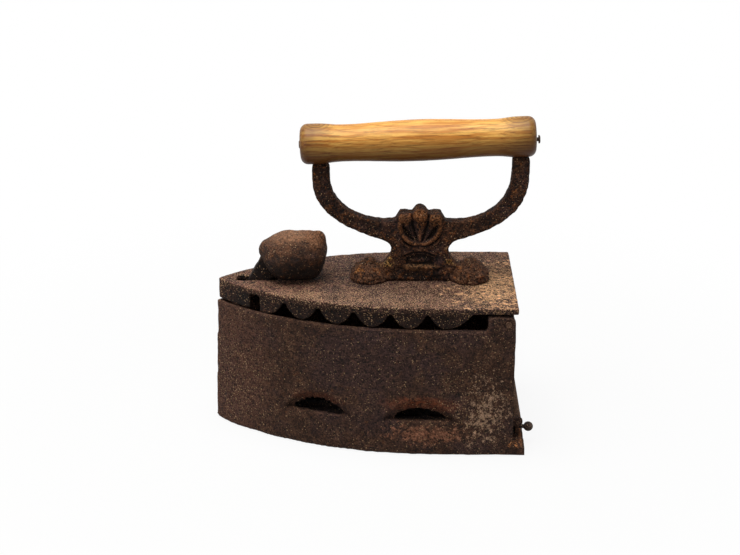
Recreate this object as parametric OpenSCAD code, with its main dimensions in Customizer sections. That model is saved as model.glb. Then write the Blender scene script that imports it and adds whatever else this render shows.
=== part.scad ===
// Charcoal box iron: a cast iron firebox with a sole, a hinged lid with a scalloped skirt,
// a gravity latch at the nose, a cast yoke with a turned wooden grip, and a draught flap behind.
// Millimetres. +X points to the nose, +Z up, and the origin lies on the sole face.

/* [Body] */
// Distance from the origin forward to the nose of the sole
sole_nose = 105; // [96:1:125]
// Distance from the origin back to the rear wall
rear_reach = 99; // [92:1:115]
// Width of the body at the sole
sole_w = 114; // [104:1:130]
// Width of the body at its rim
rim_w = 109; // [100:1:124]
// Height of the rim above the sole face
body_h = 89.5; // [80:0.5:110]
// How far the nose leans back between the sole and the rim
nose_lean = 3.5; // [1:0.5:6]
// Thickness of the walls
wall = 5; // [4:0.5:6]
// Thickness of the sole
sole_t = 7; // [6:0.5:9]
// Height and depth of the worn lower edge of the sole
sole_edge = 2.5; // [1:0.5:4]
// How far the ledge of the sole stands out behind the rear wall
ledge = 8.5; // [8:0.5:12]
// Distance from the origin back to where the sides begin to curve in
bow_back = 54; // [44:1:64]
// Fullness of the curved sides at the sole
sole_bow = 2.2; // [1.8:0.1:2.6]
// Fullness of the curved sides at the rim and the lid
rim_bow = 2.3; // [2:0.1:2.8]
// Bluntness of the nose, lower is blunter
nose_blunt = 0.85; // [0.7:0.05:1]

/* [Side vents] */
// Width of a vent's opening along its sill
vent_w = 35; // [28:1:40]
// Height of a vent's opening
vent_h = 7; // [6:0.5:10]
// Height of the vents' sill above the sole face
vent_sill = 25; // [22:0.5:34]
// How far the scooped upper edge climbs towards the outside
vent_rise = 8.5; // [4:0.5:10]
// Distance from the origin forward to the front vents
vent_front = 31.5; // [27:0.5:36]
// Distance from the origin back to the rear vents
vent_rear = 37; // [30:1:44]

/* [Grate] */
// Height of the grate's upper face above the sole face
grate_z = 21; // [18:0.5:24]
// Thickness of the grate
grate_t = 3.5; // [2.5:0.5:5]
// Width of a grate slot
grate_slot = 6; // [4.5:0.5:8]
// Distance between grate slots
grate_pitch = 12; // [10:0.5:16]
// Gap between the grate and the walls at the rim, which it is dropped through
grate_gap = 1; // [0.5:0.5:3]

/* [Lid] */
// Distance from the origin forward to the tip of the lid
lid_nose = 100; // [94:1:120]
// Width of the lid
lid_w = 108; // [99:1:123]
// Thickness of the lid plate
lid_t = 4; // [3:0.5:6]
// Height of the lid's skirt below the plate
skirt_h = 11.5; // [9:0.5:14]
// Thickness of the skirt
skirt_t = 4; // [3:0.5:5]
// How far the plate stands out over its skirt at the sides and the rear
lip = 1.5; // [0.5:0.5:2]
// Gap between the skirt and the rim
skirt_gap = 0.3; // [0.3:0.1:1]
// Distance from the origin forward to where the scallops start
skirt_start = 70.5; // [66:0.5:78]
// Distance from the origin forward to where the nose skirt ends
nose_skirt = 77; // [75:0.5:86]
// How far the nose skirt stops short of the scallops' tips
nose_skirt_lift = 0.8; // [0.3:0.1:2]
// Number of scallops on each side
scallops = 6; // [4:1:6]
// Length of one scallop along the rim
scallop_pitch = 24.5; // [20:0.5:26]
// How much shorter the first scallop is than the others
first_short = 5.6; // [0:0.2:8]
// Height of the notch between two scallops
notch_h = 9; // [6:0.5:10]
// Width of a notch at its top
notch_top = 3.2; // [2:0.2:5]
// Radius of a scallop's tip
scallop_r = 7; // [6:0.5:8]

/* [Lid hinge] */
// Diameter of the hinge pin
hinge_d = 4; // [3:0.5:5]
// Radius of the posts' round ends about the pin
post_r = 5; // [4:0.5:6]
// Length of a post along the side of the body
post_l = 18.3; // [14:0.5:22]
// Thickness of a post
post_t = 6.5; // [5:0.5:8]
// Radius of the lid's lugs about the pin
lug_r = 4.5; // [3.5:0.5:5]
// Thickness of a lid lug
lug_t = 6; // [4:0.5:8]

/* [Latch] */
// Distance from the origin forward to the latch pin
latch_x = 77; // [75:0.5:80]
// Depth of the latch pin below the lid plate
latch_drop = 5.3; // [5:0.1:7]
// Diameter of the latch pin
latch_pin_d = 4; // [3:0.5:5]
// Thickness of the latch's leg
leg_t = 8; // [6:0.5:9]
// Radius of the bosses about the latch pin
latch_boss_r = 4.3; // [3.5:0.1:5]
// Thickness of the lid lugs that hold the latch pin
latch_lug_t = 3.5; // [3:0.5:5]
// Length of the slot in the lid
slot_l = 28; // [26:0.5:32]
// Distance from the origin forward to the front end of the slot
slot_front = 87.7; // [85:0.5:90]
// Distance from the latch pin back to the front of the weight
weight_back = 4.7; // [3:0.1:8]
// Length of the weight on the latch
weight_l = 46.4; // [40:0.5:50]
// Height of the weight
weight_h = 33.5; // [28:0.5:38]
// Width of the weight
weight_w = 38; // [34:1:42]
// Depth of the hook below the latch pin
hook_drop = 14.3; // [12:0.1:18]
// Thickness of the hook's toe
toe_t = 4.5; // [3.5:0.5:6]
// Distance from the latch pin forward to the tip of the toe
toe_reach = 15; // [13:0.5:16]
// Overlap of the toe and the catch
toe_grip = 4; // [3:0.5:5]
// Thickness of the catch in the nose
catch_t = 4; // [3:0.5:6]

/* [Yoke] */
// Distance from the origin back to the middle of the yoke
yoke_back = 36.5; // [32:0.5:42]
// Thickness of the yoke casting
yoke_t = 10; // [8:0.5:12]
// Width of the yoke's waist
waist_w = 38; // [30:1:40]
// Height of the waist above the lid
waist_h = 22; // [18:0.5:26]
// Height of the arms' upper edge above the lid at the crest
arm_h = 42.5; // [40:0.5:48]
// Distance between the middles of the two legs
leg_pitch = 132; // [124:1:140]
// Width of a leg
leg_w = 11.6; // [9:0.5:14]
// Distance between the middles of the two feet
foot_pitch = 68; // [64:1:74]
// Diameter of a foot
foot_d = 27; // [24:0.5:32]
// Height of a foot
foot_h = 12.5; // [10:0.5:16]
// Height of the crest above the arms' upper edge
crest_h = 9.4; // [7:0.5:12]
// Width of the crest
crest_w = 34; // [28:1:38]
// Height of the relief on the yoke's two faces
relief = 1.2; // [0.5:0.1:2]
// Diameter of the tangs in the grip
tang_d = 7; // [5:0.5:9]

/* [Rivets] */
// Diameter of the rivets' shanks
rivet_d = 7; // [5:0.5:8]
// Diameter of the rivets' heads
rivet_head_d = 9.5; // [9:0.5:12]
// Height of the rivets' heads
rivet_head_h = 3; // [2:0.5:4]
// Diameter of the washers
washer_d = 14; // [12:0.5:18]
// Thickness of the washers
washer_t = 2; // [1.5:0.5:3]
// Height of the rivets' closed ends below the washers
rivet_tail_h = 2.5; // [1.5:0.5:3]

/* [Grip] */
// How far the grip reaches ahead of the middle of the front leg
grip_ahead = 13.2; // [12:0.1:18]
// How far the grip reaches behind the middle of the rear leg
grip_behind = 9; // [8:0.1:16]
// Height of the grip's axis above the lid, over the yoke's middle
grip_h = 97.5; // [88:0.5:108]
// Slope of the grip, higher at the rear, in degrees
grip_tilt = 2.4; // [0:0.1:4]
// Diameter of the grip in the middle
grip_mid_d = 27.6; // [22:0.2:32]
// Diameter of the grip's two necks
grip_neck_d = 24.6; // [20:0.2:26]
// Diameter of the grip's two knobs
grip_knob_d = 27; // [22:0.2:28]
// Distance of the necks from the ends
grip_neck_in = 27; // [22:1:32]
// Distance of the knobs' widest part from the ends
grip_knob_in = 11; // [8:1:14]
// Radius of the rounded ends
grip_edge = 5; // [2:0.5:7]
// How far the tangs reach above the grip's axis
tang_over = 4; // [3:0.5:6]

/* [Nails] */
// Diameter of the nails
nail_d = 2.6; // [2:0.2:3.4]
// Diameter of the nails' heads
nail_head_d = 5.6; // [4:0.2:7]
// Thickness of the nails' heads
nail_head_t = 1.1; // [0.8:0.1:2]
// How far the rear nail sits below the grip's axis
nail_low = 2.2; // [0:0.2:3]
// How far the rear nail has worked out of the wood
nail_out = 1.8; // [0.2:0.1:3]

/* [Draught flap] */
// Height of the flap's pin above the sole face
flap_z = 18.5; // [17.5:0.1:21]
// Distance of the flap's pin behind the rear wall
flap_off = 4.2; // [4:0.1:6]
// Diameter of the flap's pin
flap_pin_d = 2.6; // [2:0.2:3]
// Radius of the flap's barrel
barrel_r = 2.6; // [2.2:0.1:3]
// Radius of the ears that hold the flap's pin
ear_r = 3.4; // [3:0.1:4]
// Thickness of an ear
ear_t = 4; // [3:0.5:5]
// Distance from the middle of the rear wall to the outside of an ear
ear_out = 43; // [36:1:48]
// Thickness of the flap
flap_t = 2.4; // [2:0.2:3]
// Gap between the flap and the ledge of the sole
flap_lift = 1.2; // [0.8:0.1:2]
// Width of the draught slot in the rear wall
draught_w = 66; // [50:1:72]
// How far the flap laps over the edges of the draught slot
flap_lap = 1; // [0.6:0.1:1.5]
// Diameter of the flap's ball knob
ball_d = 6.6; // [5:0.2:8]
// Diameter of the knob's stem
stem_d = 2.8; // [2.2:0.2:3.4]
// Distance from the flap's outer face to the middle of the ball
ball_off = 6.6; // [5:0.1:9]
// Distance from the middle of the rear wall to the knob
ball_y = 35; // [0:1:36]

/* [Clearances] */
// Radial clearance of pins and shanks in their bores
fit = 0.05; // [0.02:0.01:0.1]
// Gap beside parts that turn between lugs or ears
side_gap = 0.5; // [0.3:0.1:0.8]
// Gap between pieces that nearly touch
seat = 0.3; // [0.2:0.1:0.5]

/* [Hidden] */

$fn = 64;
eps = 0.01;
band = 1;
bow_steps = 20;
curve_steps = 10;

rim_nose = sole_nose - nose_lean;
rear_x = -rear_reach;
lid_under = body_h + skirt_gap + skirt_h;
lid_top = lid_under + lid_t;
lid_rear = rear_x - lip;
skirt_w = lid_w - 2 * lip;
skirt_z = body_h + skirt_gap;

hinge_x = rear_x + post_r;
hinge_z = body_h + post_r;
lug_out = rim_w / 2 - post_t - side_gap;

grate_w = min(rim_w, sole_w) - 2 * (wall + grate_gap);
grate_nose = rim_nose - wall - grate_gap;

latch_z = lid_under - latch_drop;
slot_rear = slot_front - slot_l;
slot_w = leg_t + 2 * side_gap;
toe_top = latch_z - hook_drop;
catch_x = latch_x + toe_reach - toe_grip;
latch_grip = leg_t + 2 * (side_gap + latch_lug_t);

yoke_x = -yoke_back;
foot_x = [yoke_x + foot_pitch / 2, yoke_x - foot_pitch / 2];
leg_x = [yoke_x + leg_pitch / 2, yoke_x - leg_pitch / 2];
grip_l = leg_pitch + grip_ahead + grip_behind;
grip_front = leg_x[0] + grip_ahead;

flap_x = rear_x - flap_off;
flap_face = flap_x - flap_t / 2;
flap_low = sole_t + flap_lift;
flap_half = ear_out - ear_t - side_gap;
frame_top = flap_z - barrel_r - 2 * seat;
frame_t = flap_off - flap_t / 2 - seat;
draught_low = flap_low + flap_lap;
draught_top = frame_top - flap_lap;
ball_z = (draught_low + draught_top) / 2;

iron = "#4d3c35";
dark_iron = "#3a2d28";
rust = "#6b4630";
wood = "#b98546";
steel = "#4a4442";

// Half width of a bowed outline at x
function half_w(x, nose, w, bow) = x <= -bow_back ? w / 2
    : w / 2 * pow(1 - pow((x + bow_back) / (nose + bow_back), bow), nose_blunt);

// Points of one side of the outline, from the straight part to the nose
function side(nose, w, bow) = [for (i = [0:bow_steps])
    let (x = -bow_back + (nose + bow_back) * sin(90 * i / bow_steps))
    [x, i == bow_steps ? 0 : half_w(x, nose, w, bow)]];

function flipped(points) = [for (i = [len(points) - 1:-1:0]) [points[i][0], -points[i][1]]];

module outline(nose, w, bow, rear) {
    half = side(nose, w, bow);
    far = [for (p = flipped(half)) if (p[1] != 0) p];
    polygon(concat([[rear, w / 2]], half, far, [[rear, -w / 2]]));
}

// The body's outline at a share of its height, drawn in by an inset
module wall_outline(share, inset) {
    nose = sole_nose - nose_lean * share - inset;
    w = sole_w + (rim_w - sole_w) * share - 2 * inset;
    outline(nose, w, sole_bow + (rim_bow - sole_bow) * share, rear_x + inset);
}

// Slice of the body from height z up
module slice(z, share, inset) {
    translate([0, 0, z])
        linear_extrude(band)
            wall_outline(share, inset);
}

// A point of a cubic curve through two ends with two handles
function curve_point(a, b, c, d, t) = pow(1 - t, 3) * a + 3 * t * pow(1 - t, 2) * b
    + 3 * t * t * (1 - t) * c + pow(t, 3) * d;
function curve(a, b, c, d) = [for (i = [0:curve_steps]) curve_point(a, b, c, d, i / curve_steps)];

module along_y(x, z, d, l) {
    translate([x, 0, z])
        rotate([90, 0, 0])
            cylinder(d = d, h = l, center = true);
}

module both_sides() {
    children();
    mirror([0, 1, 0]) children();
}

// Outline in X and Z, made l thick about the middle plane
module upright(l) {
    rotate([90, 0, 0])
        linear_extrude(l, center = true)
            children();
}

// ---------------------------------------------------------------- body

module shell() {
    difference() {
        hull() {
            slice(0, 0, sole_edge / 2);
            slice(sole_edge, 0, 0);
            slice(body_h - band, 1, 0);
        }
        hull() {
            slice(sole_t, 0, wall);
            slice(body_h, 1, wall);
        }
    }
    translate([rear_x - ledge, -sole_w / 2 + sole_edge / 2, 0])
        cube([ledge + wall, sole_w - sole_edge, sole_t]);
}

module post() {
    front = rear_x + post_l;
    translate([hinge_x, rim_w / 2 - post_t, body_h - band])
        cube([front - hinge_x, post_t, band + 2 * post_r]);
    translate([rear_x, rim_w / 2 - post_t, body_h - band])
        cube([post_r, post_t, band + post_r]);
    translate([hinge_x, rim_w / 2, hinge_z])
        rotate([90, 0, 0])
            cylinder(r = post_r, h = post_t);
}

// Lugs on the inside of the walls that carry the grate
module grate_lug(x) {
    lug_l = 8;
    reach = half_w(x, sole_nose, sole_w, sole_bow) - wall;
    translate([x - lug_l / 2, reach - lug_l, sole_t - eps])
        cube([lug_l, lug_l + wall / 2, grate_z - grate_t - sole_t]);
}

// Shelf across the inside of the nose, which the latch's toe hooks under
module catch_lug() {
    translate([0, 0, toe_top + seat])
        linear_extrude(catch_t)
            intersection() {
                outline(rim_nose - wall / 2, rim_w - wall, rim_bow, rear_x);
                translate([catch_x, -rim_w / 2])
                    square([rim_nose, rim_w]);
            }
}

module flap_ear() {
    translate([flap_x, ear_out, flap_z])
        rotate([90, 0, 0])
            cylinder(r = ear_r, h = ear_t);
    translate([flap_x, ear_out - ear_t, flap_z - ear_r])
        cube([flap_off + wall / 2, ear_t, 2 * ear_r]);
}

// Raised frame behind the rear wall, which the hanging flap closes against
module flap_frame() {
    translate([rear_x - frame_t, -flap_half, sole_t - eps])
        cube([frame_t + wall / 2, 2 * flap_half, frame_top - sole_t]);
}

// A vent is a scoop over a level sill: a round cut square to the wall that climbs outwards,
// so that its arch is vent_h high inside and vent_rise higher outside
module vent(x) {
    share = vent_sill / body_h;
    nose = sole_nose - nose_lean * share;
    w = sole_w + (rim_w - sole_w) * share;
    before = half_w(x - 1, nose, w, sole_bow);
    after = half_w(x + 1, nose, w, sole_bow);
    climb = atan(vent_rise / wall);
    arch_h = (pow(vent_w / 2 / cos(climb), 2) + vent_h * vent_h) / (2 * vent_h);
    deep = 2 * wall;
    translate([x, half_w(x, nose, w, sole_bow), vent_sill])
        rotate([0, 0, -atan((before - after) / 2)])
            intersection() {
                translate([0, -wall, vent_h - arch_h])
                    rotate([climb - 90, 0, 0])
                        cylinder(r = arch_h * cos(climb), h = 6 * arch_h, center = true);
                translate([-vent_w, -deep, 0])
                    cube([2 * vent_w, 2 * deep, vent_h + 3 * vent_rise]);
            }
}

module body() {
    color(iron)
        difference() {
            union() {
                shell();
                both_sides() {
                    post();
                    grate_lug(-0.7 * rear_reach);
                    grate_lug(0.3 * sole_nose);
                    flap_ear();
                }
                catch_lug();
                flap_frame();
            }
            along_y(hinge_x, hinge_z, hinge_d + 2 * fit, 2 * sole_w);
            along_y(flap_x, flap_z, flap_pin_d + 2 * fit, 2 * sole_w);
            both_sides() {
                vent(vent_front);
                vent(-vent_rear);
            }
            translate([rear_x - frame_t - 1, -draught_w / 2, draught_low])
                cube([frame_t + wall + 2, draught_w, draught_top - draught_low]);
        }
}

// Loose grate: it passes the rim's inside on its way down, and clears the walls where it lies
module grate() {
    rear = rear_x + wall + grate_gap;
    rows = floor((grate_w / 2 - grate_slot) / grate_pitch);
    low = grate_z - grate_t;
    color(dark_iron)
        difference() {
            intersection() {
                translate([0, 0, low])
                    linear_extrude(grate_t)
                        outline(grate_nose, rim_w - 2 * (wall + grate_gap), rim_bow, rear);
                translate([0, 0, low - band])
                    linear_extrude(grate_t + 2 * band)
                        wall_outline((low - band) / body_h, wall + seat);
                translate([0, 0, low - band])
                    linear_extrude(grate_t + 2 * band)
                        wall_outline(grate_z / body_h, wall + seat);
            }
            for (i = [-rows:rows])
                grate_slot_at(i * grate_pitch, rear + wall);
        }
}

module grate_slot_at(y, from) {
    room = (abs(y) + grate_slot) / (grate_w / 2);
    share = pow(1 - pow(room, 1 / nose_blunt), 1 / rim_bow);
    to = -bow_back + (grate_nose + bow_back) * share - grate_slot;
    middle = (from + to) / 2;
    for (run = [[from, middle - grate_slot / 2], [middle + grate_slot / 2, to]])
        translate([run[0], y - grate_slot / 2, grate_z - grate_t - 1])
            cube([run[1] - run[0], grate_slot, grate_t + 2]);
}

// ---------------------------------------------------------------- lid

skirt_side = side(lid_nose, skirt_w, rim_bow);

// Length of the skirt's edge from the nose back to point i of its side
function edge_to(i) = i >= bow_steps ? 0
    : norm(skirt_side[i] - skirt_side[i + 1]) + edge_to(i + 1);
edge_end = edge_to(0);
edge_of_x = concat([[rear_x, edge_end - bow_back - rear_x]],
    [for (i = [0:bow_steps]) [skirt_side[i][0], edge_to(i)]]);
x_of_edge = [for (i = [bow_steps:-1:0]) [edge_to(i), skirt_side[i][0]]];

function edge_x(s) = s > edge_end ? -bow_back - (s - edge_end) : lookup(s, x_of_edge);
skirt_from = lookup(skirt_start, edge_of_x);

// Places what it is given on the skirt's edge, s behind the first scallop's start
module on_edge(s) {
    x = edge_x(skirt_from + s);
    before = half_w(x - 1, lid_nose, skirt_w, rim_bow);
    after = half_w(x + 1, lid_nose, skirt_w, rim_bow);
    translate([x, half_w(x, lid_nose, skirt_w, rim_bow), skirt_z])
        rotate([0, 0, -atan((before - after) / 2)])
            children();
}

// A scallop's edge rises from its tip as a parabola, so two of them leave a pointed notch
module notch() {
    half = scallop_pitch / 2;
    heights = [for (i = [0:7]) notch_h * pow(i / 7, 2)];
    right = [for (h = heights) [max(half - sqrt(2 * scallop_r * h), notch_top / 2), h]];
    left = [for (i = [7:-1:0]) [-right[i][0], right[i][1]]];
    upright(4 * skirt_t)
        polygon(concat([[half, -1]], right, [[0, notch_h + 0.8]], left, [[-half, -1]]));
}

// Behind the last scallop the skirt runs out in a long slope to the plate
module run_out() {
    slope_r = 2 * scallop_r;
    heights = [for (i = [0:8]) skirt_h * pow(i / 8, 2)];
    slope = [for (h = heights) [-sqrt(2 * slope_r * h), h]];
    upright(4 * skirt_t)
        polygon(concat([[0, -1]], slope, [[-2 * rear_reach, skirt_h], [-2 * rear_reach, -1]]));
}

module skirt() {
    difference() {
        translate([0, 0, skirt_z])
            linear_extrude(skirt_h + eps)
                difference() {
                    outline(lid_nose, skirt_w, rim_bow, rear_x);
                    outline(lid_nose - skirt_t, skirt_w - 2 * skirt_t, rim_bow, rear_x - 1);
                }
        both_sides() {
            for (i = [1:scallops - 1])
                on_edge(i * scallop_pitch - first_short) notch();
            on_edge((scallops - 0.5) * scallop_pitch - first_short) run_out();
        }
        translate([skirt_start, -skirt_w / 2, skirt_z - 1])
            cube([nose_skirt - skirt_start, skirt_w, skirt_h + 1]);
        translate([nose_skirt - 1, -skirt_w / 2, skirt_z - 1])
            cube([lid_nose, skirt_w, nose_skirt_lift + 1]);
        translate([rear_x - 2, -skirt_w / 2, skirt_z - 1])
            cube([post_l + 4, skirt_w, skirt_h + 1]);
    }
}

module lid_lug() {
    neck = 0.85 * lug_r;
    translate([hinge_x, lug_out, hinge_z])
        rotate([90, 0, 0])
            cylinder(r = lug_r, h = lug_t);
    translate([hinge_x - neck, lug_out - lug_t, hinge_z])
        cube([2 * neck, lug_t, lid_under - hinge_z + eps]);
}

module latch_lug() {
    near = leg_t / 2 + side_gap;
    translate([latch_x, near + latch_lug_t, latch_z])
        rotate([90, 0, 0])
            cylinder(r = latch_boss_r, h = latch_lug_t);
    translate([latch_x - latch_boss_r, near, latch_z])
        cube([2 * latch_boss_r, latch_lug_t, latch_drop + eps]);
}

module lid() {
    color(iron)
        difference() {
            union() {
                translate([0, 0, lid_under])
                    linear_extrude(lid_t)
                        outline(lid_nose, lid_w, rim_bow, lid_rear);
                skirt();
                both_sides() {
                    lid_lug();
                    latch_lug();
                }
            }
            along_y(hinge_x, hinge_z, hinge_d + 2 * fit, 2 * lid_w);
            along_y(latch_x, latch_z, latch_pin_d + 2 * fit, 2 * latch_grip);
            translate([slot_rear, -slot_w / 2, lid_under - 1])
                cube([slot_l, slot_w, lid_t + 2]);
            for (x = foot_x)
                translate([x, 0, lid_under - 1])
                    cylinder(d = rivet_d + 2 * fit, h = lid_t + 2);
        }
}

module lid_hinge_pin() {
    color(steel)
        along_y(hinge_x, hinge_z, hinge_d, rim_w + 1);
}

// ---------------------------------------------------------------- latch

// Leg and hook in the middle plane: it falls shut by its weight and hooks under the catch
module latch_leg() {
    upright(leg_t)
        polygon([
            [latch_x - 6, lid_top + 15.5],
            [latch_x + 2.5, lid_top + seat],
            [latch_x + latch_boss_r, latch_z],
            [latch_x + latch_boss_r, toe_top],
            [latch_x + toe_reach, toe_top],
            [latch_x + toe_reach, toe_top - 0.7 * toe_t],
            [latch_x + toe_reach - 2, toe_top - toe_t],
            [latch_x - 2, toe_top - toe_t],
            [latch_x - latch_boss_r, toe_top - 1],
            [latch_x - latch_boss_r, latch_z],
            [latch_x - 11, lid_under + 1],
            [latch_x - 13, lid_top + seat],
            [latch_x - 25, lid_top + 8],
            [latch_x - 20, lid_top + 20]]);
}

// Rounded weight, longer than high, with a thumb bump at its rear
module weight() {
    front = latch_x - weight_back;
    rear = front - weight_l;
    low = lid_top + seat;
    belly_r = weight_h / 2 - 0.6;
    rear_r = 0.28 * weight_l;
    tip_r = 0.15 * weight_l;
    bump_r = 0.14 * weight_l;
    spread = weight_w / 2 - belly_r;
    hull()
        for (s = [-1, 1]) {
            translate([rear + 0.57 * weight_l, s * spread, low + belly_r])
                sphere(r = belly_r, $fn = 32);
            translate([front - tip_r, s * spread / 2, low + 0.6 * weight_h])
                sphere(r = tip_r, $fn = 32);
            translate([rear + rear_r, s * spread, low + 0.58 * weight_h])
                sphere(r = rear_r, $fn = 32);
            translate([rear + rear_r, s * spread, low + 0.8 * rear_r])
                sphere(r = 0.8 * rear_r, $fn = 32);
        }
    hull() {
        translate([rear + bump_r + 0.4, 0, low + weight_h - bump_r + 0.4])
            sphere(r = bump_r, $fn = 32);
        for (s = [-1, 1])
            translate([rear + rear_r, s * spread, low + 0.55 * weight_h])
                sphere(r = rear_r - 0.5, $fn = 32);
    }
}

module latch() {
    color(dark_iron)
        difference() {
            union() {
                latch_leg();
                along_y(latch_x, latch_z, 2 * latch_boss_r, leg_t);
                weight();
            }
            along_y(latch_x, latch_z, latch_pin_d + 2 * fit, 2 * leg_t);
        }
}

module latch_pin() {
    color(steel)
        along_y(latch_x, latch_z, latch_pin_d, latch_grip + 1);
}

// ---------------------------------------------------------------- yoke

// Half outline of the yoke from the crest to the foot, u out from its middle, h above the lid
function crest_half() =
    let (bump_r = 0.156 * crest_w, bump_h = arm_h + crest_h - 0.156 * crest_w)
    concat([for (a = [90:-15:15]) [bump_r * cos(a), bump_h + bump_r * sin(a)]],
        [[0.4 * crest_w, arm_h + 0.6 * crest_h]]);

function arm_half(top) =
    let (inner = (leg_pitch - leg_w) / 2, outer = (leg_pitch + leg_w) / 2,
        bend = arm_h + 0.75 * (top - arm_h))
    concat(
        curve([crest_w / 2, arm_h], [0.7 * inner, arm_h - 2], [inner, arm_h + 11.5], [inner, bend]),
        [[inner, top], [outer, top]],
        curve([outer, bend], [outer, waist_h + 28], [0.77 * outer, waist_h + 16],
            [waist_w / 2 + 6, waist_h + 7]));

function waist_half() = curve([waist_w / 2 + 4, waist_h + 6], [waist_w / 2 - 3, waist_h + 2.5],
    [waist_w / 2 - 0.5, waist_h - 7], [foot_pitch / 2 - 5, foot_h - 4]);

function yoke_half(top) = concat(crest_half(), arm_half(top), waist_half(),
    [[foot_pitch / 2, foot_h - 5], [foot_pitch / 2, 0]]);

// Diameter and height of the grip at a distance s behind its front end
function ease(a, b, t) = a + (b - a) * (1 - cos(180 * t)) / 2;
function grip_r(s) =
    let (e = min(s, grip_l - s))
    (e < grip_knob_in ? grip_knob_d
        : e < grip_neck_in ? ease(grip_knob_d, grip_neck_d, (e - grip_knob_in) / (grip_neck_in - grip_knob_in))
        : ease(grip_neck_d, grip_mid_d, (e - grip_neck_in) / (grip_l / 2 - grip_neck_in))) / 2;
function axis_z(x) = lid_top + grip_h + (yoke_x - x) * tan(grip_tilt);
function leg_top(x) = axis_z(x) - grip_r(grip_front - x) - seat;

// Palmette in a bowl, standing out from both faces
module relief_side() {
    mid_h = arm_h - 0.35 * crest_h;
    bowl_r = 0.39 * crest_w;
    translate([0, -yoke_t / 2 - relief, 0])
        rotate([-90, 0, 0])
            translate([0, -mid_h, 0]) {
                difference() {
                    cylinder(r = bowl_r + 1.2, h = 2 * relief);
                    translate([0, 0, -1])
                        cylinder(r = bowl_r - 1, h = 4 * relief);
                    translate([-crest_w, -crest_w, -1])
                        cube([2 * crest_w, crest_w + 1, 4 * relief]);
                }
                linear_extrude(2 * relief)
                    polygon([[-0.14 * crest_w, -0.7 * crest_h], [0.14 * crest_w, -0.7 * crest_h],
                        [0.02 * crest_w, 0.9 * bowl_r], [-0.02 * crest_w, 0.9 * bowl_r]]);
            }
}

module foot() {
    full_h = 1.06 * foot_h;
    side_pts = [for (a = [0:9:81]) [foot_d / 2 * cos(a), min(full_h * sin(a), foot_h)]];
    rotate_extrude()
        polygon(concat([[0, 0]], side_pts, [[0, foot_h]]));
}

module handle_yoke() {
    front = yoke_half(leg_top(leg_x[0]) - lid_top);
    rear = yoke_half(leg_top(leg_x[1]) - lid_top);
    mirrored = [for (i = [len(rear) - 1:-1:1]) [-rear[i][0], rear[i][1]]];
    color(rust)
        difference() {
            union() {
                translate([yoke_x, 0, lid_top]) {
                    upright(yoke_t)
                        polygon(concat(front, mirrored));
                    both_sides() relief_side();
                }
                for (x = foot_x)
                    translate([x, 0, lid_top]) foot();
                for (x = leg_x)
                    translate([x, 0, leg_top(x) - leg_w])
                        cylinder(d = tang_d, h = axis_z(x) + tang_over - leg_top(x) + leg_w);
            }
            for (x = foot_x)
                translate([x, 0, lid_top - 1])
                    cylinder(d = rivet_d + 2 * fit, h = foot_h + 2);
            nail_bore(leg_x[0], 0);
            nail_bore(leg_x[1], nail_low);
        }
}

// Bore along the grip through a tang, low below the grip's axis
module nail_bore(x, low) {
    translate([x, 0, axis_z(x) - low / cos(grip_tilt)])
        rotate([0, 90 + grip_tilt, 0])
            cylinder(d = nail_d + 2 * fit, h = 2 * leg_w, center = true);
}

module rivet(x) {
    color(rust)
        translate([x, 0, 0]) {
            translate([0, 0, lid_under - washer_t - rivet_tail_h])
                cylinder(d = rivet_d, h = lid_t + foot_h + washer_t + rivet_tail_h + eps);
            translate([0, 0, lid_top + foot_h])
                rotate_extrude()
                    polygon(concat([[0, 0]],
                        [for (a = [0:15:90]) [rivet_head_d / 2 * cos(a), rivet_head_h * (0.3 + 0.7 * sin(a))]]
                        , [[0, rivet_head_h]]));
            translate([0, 0, lid_under - washer_t - rivet_tail_h])
                cylinder(d1 = rivet_d + 2, d2 = rivet_head_d, h = rivet_tail_h);
        }
}

module washer(x) {
    color(steel)
        translate([x, 0, lid_under - washer_t])
            difference() {
                cylinder(d = washer_d, h = washer_t);
                translate([0, 0, -1])
                    cylinder(d = rivet_d + 2 * fit, h = washer_t + 2);
            }
}

module front_rivet() { rivet(foot_x[0]); }
module rear_rivet() { rivet(foot_x[1]); }
module front_washer() { washer(foot_x[0]); }
module rear_washer() { washer(foot_x[1]); }

// ---------------------------------------------------------------- grip

// Sets +Z along the grip's axis, from its front end to its rear end
module grip_frame() {
    translate([grip_front, 0, axis_z(grip_front)])
        rotate([0, -90 + grip_tilt, 0])
            children();
}

module grip() {
    long = grip_l / cos(grip_tilt);
    steps = 24;
    knob_r = grip_knob_d / 2;
    front_end = [for (a = [0:15:90]) [knob_r - grip_edge * (1 - sin(a)), grip_edge * (1 - cos(a))]];
    rear_end = [for (a = [90:-15:0]) [knob_r - grip_edge * (1 - sin(a)), long - grip_edge * (1 - cos(a))]];
    shaft = [for (i = [0:steps])
        let (s = grip_knob_in + (grip_l - 2 * grip_knob_in) * i / steps)
        [grip_r(s), s / cos(grip_tilt)]];
    color(wood)
        difference() {
            grip_frame()
                rotate_extrude()
                    polygon(concat([[0, 0]], front_end, shaft, rear_end, [[0, long]]));
            for (x = leg_x)
                translate([x, 0, leg_top(x) - leg_w])
                    cylinder(d = tang_d + 2 * fit, h = axis_z(x) + tang_over + seat - leg_top(x) + leg_w);
            grip_frame()
                translate([0, 0, -1])
                    cylinder(d = nail_d + 2 * fit, h = grip_ahead + tang_d + 1);
            grip_frame()
                translate([-nail_low, 0, grip_front - leg_x[1] - tang_d])
                    cylinder(d = nail_d + 2 * fit, h = grip_l);
        }
}

module nail(l) {
    cylinder(d = nail_d, h = l);
    cylinder(d1 = 0.8 * nail_head_d, d2 = nail_head_d, h = nail_head_t / 2);
    translate([0, 0, nail_head_t / 2])
        cylinder(d = nail_head_d, h = nail_head_t / 2);
}

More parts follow.
